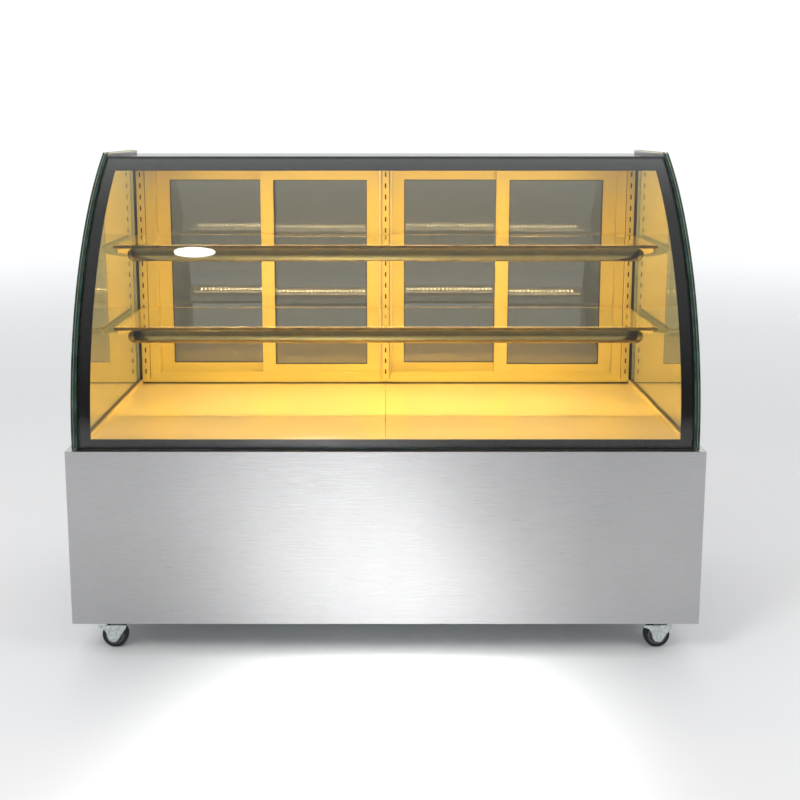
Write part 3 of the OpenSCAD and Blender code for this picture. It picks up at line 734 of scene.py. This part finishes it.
@dataclass
class DisplaySpace:
    """Deck, shelves and what carries them."""

    palette: Palette
    rail_height: float = 34 * MM
    rail_depth: float = 10 * MM
    corner_bead: float = 14 * MM
    bead: float = 1.6 * MM
    bead_lift: float = 0.8 * MM
    bead_insets: tuple[float, float] = (1.6 * MM, 6.0 * MM)
    bead_ends: tuple[float, float] = (12 * MM, 14 * MM)
    sill_bead: float = 2.4 * MM
    post_width: float = 20 * MM
    # Width past the standard and thickness of the black strips of painted shade behind each standard.
    shade_strip_overhang: float = 1.4 * MM
    shade_strip: float = 0.8 * MM
    steps: int = 40

    def rails(self) -> None:
        """Both front rails: oval bars with round ends."""
        low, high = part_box("shelf_rails")
        shape = bmesh.new()
        placed: set[bmesh.types.BMVert] = set()
        radius = self.rail_height / 2
        for centre in (
            Vector((0.0, low.y + self.rail_depth / 2, low.z + radius)),
            Vector((0.0, high.y - self.rail_depth / 2, high.z - radius)),
        ):
            outline = [
                (side * (high.x - radius + radius * math.cos(turn)), radius * math.sin(turn))
                for side, turns in ((-1, range(0, 10)), (1, range(9, -1, -1)))
                for turn in (math.radians(10 * t) for t in turns)
            ]
            verts = [shape.verts.new((x, 0.0, r)) for x, r in outline]
            edges = [shape.edges.new(pair) for pair in zip(verts, verts[1:])]
            bmesh.ops.spin(
                shape,
                geom=[*verts, *edges],
                axis=Axis.X.vector,
                angle=math.tau,
                steps=self.steps,
                use_merge=True,
            )
            fresh = [vert for vert in shape.verts if vert not in placed]
            flatten = Matrix.Diagonal((1.0, self.rail_depth / self.rail_height, 1.0, 1.0))
            bmesh.ops.transform(shape, matrix=Matrix.Translation(centre) @ flatten, verts=fresh)
            placed.update(fresh)
        bmesh.ops.remove_doubles(shape, verts=shape.verts, dist=WELD)
        bmesh.ops.recalc_face_normals(shape, faces=shape.faces)
        steel = [self.palette["rail_steel_painted_reflection"]]
        Piece("shelf_rail_bars", CASE, "polished_steel", steel, ["shelf_rails"], 60.0).add(shape)

    def seals_and_shade_strips(self) -> None:
        """Black beads at the rear corners and deck edges, and black strips of painted shade behind the
        standards.
        """
        channel_low, channel_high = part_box("glass_channels")
        deck_low, deck_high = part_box("deck_pans")
        post_low, post_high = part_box("shelf_standards")
        rear = post_high.y
        shape = bmesh.new()
        for side in (-1, 1):
            wall = channel_high.x * side
            inner = deck_high.x * side
            crate(
                shape,
                (min(wall, inner), rear - self.corner_bead, channel_high.z + MM),
                (max(wall, inner), rear - 2 * MM, post_high.z),
            )
            for inset in self.bead_insets:
                near, far = sorted((inner + side * inset, inner + side * (inset + self.bead)))
                crate(
                    shape,
                    (near, channel_low.y + self.bead_ends[0], channel_high.z),
                    (far, rear - self.bead_ends[1], channel_high.z + self.bead_lift),
                )
        crate(
            shape,
            (deck_low.x, rear - self.sill_bead, deck_high.z),
            (deck_high.x, rear - 0.2 * MM, deck_high.z + self.sill_bead),
        )
        # Painted shade: a black strip behind each standard darkens its slots and its sides.
        half = self.post_width / 2 + self.shade_strip_overhang
        for x in (post_low.x + self.post_width / 2, 0.0, post_high.x - self.post_width / 2):
            crate(
                shape,
                (x - half, rear - 0.1 * MM - self.shade_strip, post_low.z + 4 * MM),
                (x + half, rear - 0.1 * MM, post_high.z - 4 * MM),
            )
        Piece("display_seals_and_shade_strips", CASE, "black_plastic", [self.palette["silicone_black"]]).add(shape)

    def build(self) -> None:
        """Show the deck, the standards, the brackets, the shelves and their rails."""
        soft = Softened(self.palette)
        soft.show("deck_pans", "satin_stainless", "deck_steel_painted_lamp_light", 1.2 * MM)
        soft.show("front_air_strip", "satin_stainless", "frame_steel_painted_lamp_light", 0.5 * MM)
        soft.show("shelf_standards", "satin_stainless", "frame_steel_painted_lamp_light", 0.4 * MM)
        soft.show("shelf_brackets", "satin_stainless", "frame_steel_painted_lamp_light", 0.5 * MM)
        self.seals_and_shade_strips()
        self.rails()
        for node in ("shelf_upper", "shelf_lower"):
            soft.pane(node, "clear_glass", "shelf_pane", "shelf_edge_painted_lamp_glow", Axis.Z)


@dataclass
class LightBars:
    """Warm light bars under the shelves and the top: housings, lenses, diodes and lamps."""

    palette: Palette
    pitch: float = 13 * MM
    diode: float = 7 * MM
    stand: float = 1.2 * MM
    bare_end: float = 20 * MM
    lamp_width: float = 12 * MM
    setback: float = 6 * MM
    watts: tuple[float, float, float] = (2.8, 1.6, 4.8)
    tilts: tuple[float, float, float] = (-4.0, 10.0, 6.0)
    drops: tuple[float, float, float] = (26 * MM, 26 * MM, 8 * MM)
    warm: tuple[float, float, float] = (1.0, 0.58, 0.08)

    def bars(self) -> list[tuple[Vector, Vector]]:
        """Boxes of the three bars, from the lowest to the highest.

        Returns:
            Lowest and highest corner of each bar's housing.
        """
        shape = bmesh.new()
        shape.from_mesh(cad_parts["light_housings"].data)
        levels: list[list[Vector]] = []
        for vert in sorted(shape.verts, key=lambda v: v.co.z):
            point = vert.co.copy()
            if not levels or point.z - levels[-1][0].z > 30 * MM:
                levels.append([])
            levels[-1].append(point)
        shape.free()
        return [
            (
                Vector([min(p[i] for p in points) for i in range(3)]),
                Vector([max(p[i] for p in points) for i in range(3)]),
            )
            for points in levels
        ]

    def diodes(self) -> None:
        """Rows of small square diodes on the rear side of the two shelf bars."""
        shape = bmesh.new()
        for low, high in self.bars()[:2]:
            count = int((high.x - low.x - 2 * self.bare_end) / self.pitch)
            z = (low.z + high.z) / 2
            for i in range(count):
                x = (i - (count - 1) / 2) * self.pitch
                crate(
                    shape,
                    (x - self.diode / 2, high.y, z - self.diode / 2),
                    (x + self.diode / 2, high.y + self.stand, z + self.diode / 2),
                )
        Piece("lamp_diodes", CASE, "lamp_lens", [self.palette["lamp_diode"]]).add(shape)

    def lamps(self) -> None:
        """One long warm lamp below each bar, its tilt in degrees towards the rear."""
        for index, (low, high) in enumerate(self.bars()):
            data = bpy.data.lights.new(f"bar_lamp_{index}", "AREA")
            data.shape = "RECTANGLE"
            data.size = high.x - low.x
            data.size_y = self.lamp_width
            data.energy = self.watts[index]
            data.color = self.warm
            lamp = bpy.data.objects.new(f"bar_lamp_{index}", data)
            lamp.location = ((low.x + high.x) / 2, high.y + self.setback, low.z - self.drops[index])
            lamp.rotation_euler = (math.radians(self.tilts[index]), 0.0, 0.0)
            bpy.context.scene.collection.objects.link(lamp)

    def build(self) -> None:
        """Make the bars and their lamps."""
        soft = Softened(self.palette)
        soft.show("light_housings", "fin_aluminium", "bar_white", 1.0 * MM)
        soft.show("light_lenses", "lamp_lens", "lamp_lens", 1.0 * MM)
        self.diodes()
        self.lamps()


@dataclass
class SlidingDoors:
    """Rear frame and four sliding doors with their gaskets, plain steel outside and gold steel inside, which
    is painted warm lamp light.
    """

    palette: Palette
    gasket: float = 2.4 * MM
    bite: float = 5 * MM
    rounding: float = 0.6 * MM
    stile: float = 37 * MM
    cup: tuple[float, float] = (10.2 * MM, 52 * MM)

    def gaskets(self, number: int) -> None:
        """Black glazing gaskets on both sides of one door's pane.

        Args:
            number: the door, from 1 to 4.
        """
        glass_low, glass_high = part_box(f"door_glass_{number}")
        low = Vector((glass_low.x + self.bite, 0.0, glass_low.z + self.bite))
        high = Vector((glass_high.x - self.bite, 0.0, glass_high.z - self.bite))
        shape = bmesh.new()
        for y0, y1 in (
            (glass_low.y - self.gasket, glass_low.y),
            (glass_high.y, glass_high.y + self.gasket),
        ):
            for x0, x1 in ((low.x, low.x + self.gasket), (high.x - self.gasket, high.x)):
                crate(shape, (x0, y0, low.z), (x1, y1, high.z))
            for z0, z1 in ((low.z, low.z + self.gasket), (high.z - self.gasket, high.z)):
                crate(shape, (low.x + self.gasket, y0, z0), (high.x - self.gasket, y1, z1))
        round_edges(shape, self.rounding)
        silicone = [self.palette["silicone_black"]]
        Piece(f"door_gasket_{number}", f"door_{number}", "black_plastic", silicone).add(shape)

    def door(self, number: int) -> None:
        """One door: frame with its finger cup, pane and gaskets.

        Args:
            number: the door, from 1 to 4.
        """
        body = f"door_{number}"
        frame_low, frame_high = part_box(f"door_frame_{number}")
        shape = cad_copy(f"door_frame_{number}")
        pull = frame_low.x + self.stile / 2 if number % 2 else frame_high.x - self.stile / 2
        middle = (frame_low.z + frame_high.z) / 2

        def rule(face: bmesh.types.BMFace) -> int:
            """Index 1 for the finger cup, 2 for the glides, 3 for the plain steel side outside the case; 0
            is the gold steel inside, painted warm lamp light.
            """
            centre = face.calc_center_median()
            if face.normal.y > 0.5 and centre.y > frame_high.y - MM:
                return 3
            reach = (abs(centre.x - pull), abs(centre.z - middle))
            if reach[0] < self.cup[0] and reach[1] < self.cup[1] and centre.y > frame_low.y + 4 * MM:
                return 1
            return 2 if centre.z < frame_low.z + 2 * MM else 0

        round_edges(shape, self.rounding)
        paint(shape, rule)
        finishes = [self.palette[n] for n in ("frame_steel_painted_lamp_light", "black_plastic", "white_paint", "base_steel")]
        node = f"door_frame_{number}"
        Piece(node + "_skin", body, "door_frame_metal", finishes, [node]).add(shape)
        soft = Softened(self.palette)
        soft.pane(f"door_glass_{number}", "door_glass", "door_pane_painted_shade", "green_edge", Axis.Y, body)
        self.gaskets(number)

    def build(self) -> None:
        """Make the frame and the doors."""
        shape = cad_copy("rear_frame")
        round_edges(shape, 0.7 * MM)
        # Faces towards the rear get plain steel; the rest get the gold steel, which is painted warm lamp
        # light.
        paint(shape, lambda face: 1 if face.normal.y > 0.5 else 0)
        finishes = [self.palette[n] for n in ("frame_steel_painted_lamp_light", "base_steel")]
        Piece("rear_frame_skin", CASE, "satin_stainless", finishes, ["rear_frame"]).add(shape)
        for number in range(1, 5):
            self.door(number)


class Corner(Enum):
    """Where a caster sits."""

    FRONT_LEFT = "front_left"
    FRONT_RIGHT = "front_right"
    REAR_LEFT = "rear_left"
    REAR_RIGHT = "rear_right"


# Outline of a fork cheek in millimetres: across and up from the axle.
CHEEK_OUTLINE = (
    (-36, 32), (-36, 27), (-24, 23), (-17, 12), (-13, -2), (-8, -9), (0, -11),
    (8, -9), (12, -3), (20, 10), (30, 24), (32, 32),
)


@dataclass
class Caster:
    """One swivel caster: zinc fork, grey hub and black tyre."""

    palette: Palette
    corner: Corner
    tread: float = 9 * MM
    bore: float = 4.05 * MM
    shoulder: float = 3.6 * MM
    flank_inset: float = 1.5 * MM
    cheek_skin: tuple[float, float] = (0.3 * MM, 0.6 * MM)
    spokes: int = 6
    steps: int = 72

    def ring(self, outline: Sequence[tuple[float, float]], centre: Vector) -> bmesh.types.BMesh:
        """Spin an outline around the axle.

        Args:
            outline: points of radius and place across the wheel, closed.
            centre: middle of the wheel.

        Returns:
            The closed ring.
        """
        shape = bmesh.new()
        verts = [shape.verts.new((centre.x + r, centre.y + y, centre.z)) for r, y in outline]
        edges = [shape.edges.new((a, b)) for a, b in zip(verts, verts[1:] + verts[:1])]
        bmesh.ops.spin(
            shape,
            geom=[*verts, *edges],
            cent=centre,
            axis=Axis.Y.vector,
            angle=math.tau,
            steps=self.steps,
            use_merge=True,
            use_duplicate=False,
        )
        bmesh.ops.remove_doubles(shape, verts=shape.verts, dist=WELD)
        bmesh.ops.recalc_face_normals(shape, faces=shape.faces)
        return shape

    def tyre_outline(self, radius: float, half: float) -> list[tuple[float, float]]:
        """Crowned tread with round shoulders and a shallow groove on each side.

        Args:
            radius: outer radius of the wheel.
            half: half of the wheel's width.

        Returns:
            Points of radius and place across.
        """
        inner = radius - self.tread
        flank = half - self.flank_inset
        points = [(inner, -flank), (inner + 2.6 * MM, -flank)]
        for step in range(9):
            turn = math.radians(-90 + 90 * step / 8)
            drop = self.shoulder * (1 - math.cos(turn)) + 0.1 * MM
            points.append((radius - drop, self.shoulder * (1 + math.sin(turn)) - flank))
        points.append((radius, 0.0))
        mirrored = [(r, -y) for r, y in reversed(points[:-1])]
        return points + mirrored

    def wheel(self) -> None:
        """Hub and tyre."""
        name = self.corner.value
        node = f"caster_wheel_{name}"
        low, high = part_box(node)
        centre = (low + high) / 2
        radius = (high.z - low.z) / 2
        half = (high.y - low.y) / 2
        inner = radius - self.tread
        body = f"wheel_{name}"
        tyre = self.ring(self.tyre_outline(radius, half), centre)
        Piece(f"tyre_{name}", body, "caster_tyre", [self.palette["tyre_rubber"]], [node]).add(tyre)
        face = [
            (self.bore, half), (10 * MM, half), (11 * MM, half - MM), (11.6 * MM, 4 * MM),
            (inner - 5 * MM, 4 * MM), (inner - 4.4 * MM, half - 3 * MM),
            (inner - 3.6 * MM, half - 2 * MM), (inner, half - 2 * MM),
        ]
        hub = self.ring([(r, -y) for r, y in face] + face[::-1], centre)
        for spoke in range(self.spokes):
            turn = Matrix.Rotation(math.tau * spoke / self.spokes, 4, "Y")
            verts = crate(hub, (11.2 * MM, -half + 4 * MM, -MM), (inner - 4.6 * MM, half - 4 * MM, MM))
            bmesh.ops.transform(hub, matrix=Matrix.Translation(centre) @ turn, verts=verts)
        Piece(f"hub_{name}", body, "caster_tyre", [self.palette["hub_plastic"]]).add(hub)

    def cheeks(self) -> None:
        """Flared outer plates of the fork, from the race down to the axle."""
        name = self.corner.value
        low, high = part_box(f"caster_fork_{name}")
        wheel_low, wheel_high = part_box(f"caster_wheel_{name}")
        axle = (wheel_low + wheel_high) / 2
        out, into = self.cheek_skin
        shape = bmesh.new()
        for y0, y1 in ((low.y - out, low.y + into), (high.y - into, high.y + out)):
            near = [shape.verts.new((axle.x + x * MM, y0, axle.z + z * MM)) for x, z in CHEEK_OUTLINE]
            plate = shape.faces.new(near)
            grown = bmesh.ops.extrude_face_region(shape, geom=[plate])
            verts = [v for v in grown["geom"] if isinstance(v, bmesh.types.BMVert)]
            bmesh.ops.translate(shape, vec=(0.0, y1 - y0, 0.0), verts=verts)
        bmesh.ops.recalc_face_normals(shape, faces=shape.faces)
        Piece(f"fork_cheeks_{name}", f"swivel_{name}", "galvanised", [self.palette["zinc"]]).add(shape)

    def build(self) -> None:
        """Make the fork and the wheel."""
        name = self.corner.value
        self.cheeks()
        soft = Softened(self.palette)
        soft.show(f"caster_fork_{name}", "galvanised", "zinc", 0.6 * MM, f"swivel_{name}")
        self.wheel()


@dataclass
class CoolingUnit:
    """Cold well and machine bay."""

    palette: Palette
    finishes: dict[str, tuple[str, str, float]] = field(
        default_factory=lambda: {
            "insulated_tub": ("foam_tub", "tub_skin", 3.0),
            "evaporator_coil": ("fin_aluminium", "fin_aluminium", 0.15),
            "evaporator_fan_bulkhead": ("white_sheet", "white_paint", 0.4),
            "drip_tray": ("fin_aluminium", "fin_aluminium", 0.5),
            "compressor": ("compressor_black", "compressor_paint", 1.5),
            "condenser_coil": ("fin_aluminium", "fin_aluminium", 0.15),
            "condenser_fan_shroud": ("black_plastic", "black_plastic", 0.5),
            "refrigerant_lines": ("copper_pipe", "copper_tube", 0.0),
            "power_inlet": ("black_plastic", "black_plastic", 0.5),
            "caster_plates": ("galvanised", "zinc", 0.5),
        }
    )

    def build(self) -> None:
        """Show every piece of the cooling unit."""
        soft = Softened(self.palette)
        for node, (slot, finish, width) in self.finishes.items():
            if width:
                soft.show(node, slot, finish, width * MM)
            else:
                Piece(node + "_skin", CASE, slot, [self.palette[finish]], [node]).add(cad_copy(node))
        for node in ("condenser_fan", "evaporator_fan_left", "evaporator_fan_right"):
            soft.show(node, "black_plastic", "black_plastic", 0.3 * MM, node + "_body")


@dataclass
class Controls:
    """Controller, its three buttons and the light rocker on the service side."""

    palette: Palette

    def build(self) -> None:
        """Show the panel with its display window and the moving pieces."""
        soft = Softened(self.palette)
        soft.show("control_panel", "black_plastic", "black_plastic", 0.5 * MM)
        for name in ("set_button", "up_button", "down_button"):
            soft.show(name, "button_grey", "button_rubber", 0.9 * MM, name + "_body")
        soft.show("light_rocker", "rocker_green", "rocker_green", 0.7 * MM, "light_rocker_body")
        low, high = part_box("set_button")
        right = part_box("up_button")[0]
        shape = bmesh.new()
        crate(
            shape,
            (high.x + 3 * MM, high.y - 2.6 * MM, low.z - 4 * MM),
            (right.x - 5 * MM, high.y - 2.2 * MM, high.z + 4 * MM),
        )
        round_edges(shape, 0.15 * MM)
        Piece("display_window", CASE, "black_plastic", [self.palette["display_window"]]).add(shape)


# ---------------------------------------------------------------- studio


@dataclass(frozen=True)
class SoftLight:
    """An area light: where it hangs, what it faces and who sees it."""

    name: str
    place: tuple[float, float, float]
    aim: tuple[float, float, float]
    size: tuple[float, float]
    watts: float
    spread: float = 180.0
    turn: float = 0.0
    mirrored: bool = False
    round_face: bool = False


@dataclass
class Studio:
    """Pale floor, soft lights and the camera."""

    floor_shade: tuple[float, float, float] = (0.78, 0.78, 0.78)
    floor_radius: float = 9.0
    floor_solid: float = 2.4
    sky: tuple[float, float, float] = (0.97, 0.98, 1.0)
    wall: float = 1.05
    room: float = 0.22
    ceiling: float = 0.55
    lens: float = 46.22
    eye: tuple[float, float, float] = (0.0, -2.665, 1.266)
    pitch: float = 8.17
    shift: tuple[float, float] = (0.018, -0.157)
    lights: tuple[SoftLight, ...] = (
        SoftLight("key_light", (-2.4, -3.0, 3.4), (0.0, 0.0, 0.5), (1.2, 1.2), 76.0),
        SoftLight("fill_light", (3.0, -2.0, 2.4), (0.0, 0.0, 0.5), (1.4, 1.4), 34.0),
        SoftLight("floor_pool", (-0.13, -1.45, 0.60), (-0.13, -1.45, 0.0), (0.56, 2.3), 10.5, 86.0, -9.2),
        SoftLight(
            "round_lamp",
            (-0.83, -1.17, 2.68),
            (-0.46, -0.21, 0.97),
            (0.18, 0.18),
            2.4,
            mirrored=True,
            round_face=True,
        ),
    )

    def floor(self) -> None:
        """A pale floor with a faint mottle that fades into the backdrop."""
        graph = Graph("studio_floor")
        graph.put(Roughness=0.55)
        mottle = graph.noise(0.7, 3.0)
        graph.vary(mottle, self.floor_shade, 0.015)
        distance = graph.tree.nodes.new("ShaderNodeVectorMath")
        distance.operation = "LENGTH"
        graph.link(graph.place(), distance.inputs[0])
        fade = graph.tree.nodes.new("ShaderNodeMapRange")
        fade.interpolation_type = "SMOOTHSTEP"
        fade.inputs["From Min"].default_value = self.floor_solid
        fade.inputs["From Max"].default_value = self.floor_radius
        fade.inputs["To Min"].default_value = 1.0
        fade.inputs["To Max"].default_value = 0.0
        graph.link(distance.outputs["Value"], fade.inputs["Value"])
        graph.drive(fade.outputs["Result"], "Alpha")
        shape = bmesh.new()
        bmesh.ops.create_grid(shape, x_segments=1, y_segments=1, size=self.floor_radius)
        mesh = bpy.data.meshes.new("studio_floor")
        shape.to_mesh(mesh)
        shape.free()
        mesh.materials.append(graph.material)
        floor = bpy.data.objects.new("studio_floor", mesh)
        bpy.context.scene.collection.objects.link(floor)

    def world(self) -> None:
        """A pale wall behind the case, a darker room in front of it and a bright ceiling."""
        world = bpy.data.worlds.new("studio")
        world.use_nodes = True
        tree = world.node_tree
        background = tree.nodes["Background"]
        background.inputs["Color"].default_value = (*self.sky, 1.0)
        coords = tree.nodes.new("ShaderNodeTexCoord")
        split = tree.nodes.new("ShaderNodeSeparateXYZ")
        tree.links.new(coords.outputs["Generated"], split.inputs["Vector"])
        total = tree.nodes.new("ShaderNodeMath")
        total.operation = "ADD"
        ramps = (("Y", (-0.2, 0.9), (self.room, self.wall)), ("Z", (0.1, 1.0), (0.0, self.ceiling)))
        for index, (axis, reach, levels) in enumerate(ramps):
            ramp = tree.nodes.new("ShaderNodeMapRange")
            ramp.inputs["From Min"].default_value, ramp.inputs["From Max"].default_value = reach
            ramp.inputs["To Min"].default_value, ramp.inputs["To Max"].default_value = levels
            tree.links.new(split.outputs[axis], ramp.inputs["Value"])
            tree.links.new(ramp.outputs["Result"], total.inputs[index])
        tree.links.new(total.outputs["Value"], background.inputs["Strength"])
        bpy.context.scene.world = world

    def softbox(self, light: SoftLight) -> None:
        """Hang a soft light.

        Args:
            light: the light.
        """
        data = bpy.data.lights.new(light.name, "AREA")
        data.shape = "ELLIPSE" if light.round_face else "RECTANGLE"
        data.size, data.size_y = light.size
        data.energy = light.watts
        data.spread = math.radians(light.spread)
        lamp = bpy.data.objects.new(light.name, data)
        lamp.location = light.place
        lamp.visible_camera = False
        lamp.visible_glossy = light.mirrored
        lamp.visible_transmission = light.mirrored
        aim = (Vector(light.aim) - Vector(light.place)).to_track_quat("-Z", "Y").to_matrix().to_4x4()
        lamp.rotation_euler = (Matrix.Rotation(math.radians(light.turn), 4, "Z") @ aim).to_euler()
        bpy.context.scene.collection.objects.link(lamp)

    def camera(self) -> None:
        """The camera in front, slightly above, looking down a little."""
        data = bpy.data.cameras.new("front_camera")
        data.lens = self.lens
        data.sensor_width = 36.0
        data.shift_x, data.shift_y = self.shift
        camera = bpy.data.objects.new("front_camera", data)
        camera.location = self.eye
        camera.rotation_euler = (math.radians(90 - self.pitch), 0.0, 0.0)
        bpy.context.scene.collection.objects.link(camera)
        bpy.context.scene.camera = camera

    def build(self) -> None:
        """Set everything up."""
        bpy.context.scene.view_settings.view_transform = "Standard"
        self.floor()
        self.world()
        for light in self.lights:
            self.softbox(light)
        self.camera()


def main() -> None:
    """Build the showcase and its studio."""
    logging.basicConfig(level=logging.INFO, format="%(message)s")
    palette = Palette()
    Studio().build()
    assemblies: Iterable = [
        SteelBase(palette),
        GlassBody(palette),
        DisplaySpace(palette),
        LightBars(palette),
        SlidingDoors(palette),
        *[Caster(palette, corner) for corner in Corner],
        CoolingUnit(palette),
        Controls(palette),
    ]
    for assembly in assemblies:
        assembly.build()
        LOG.info("%s done", type(assembly).__name__)


if __name__ == "__main__":
    main()
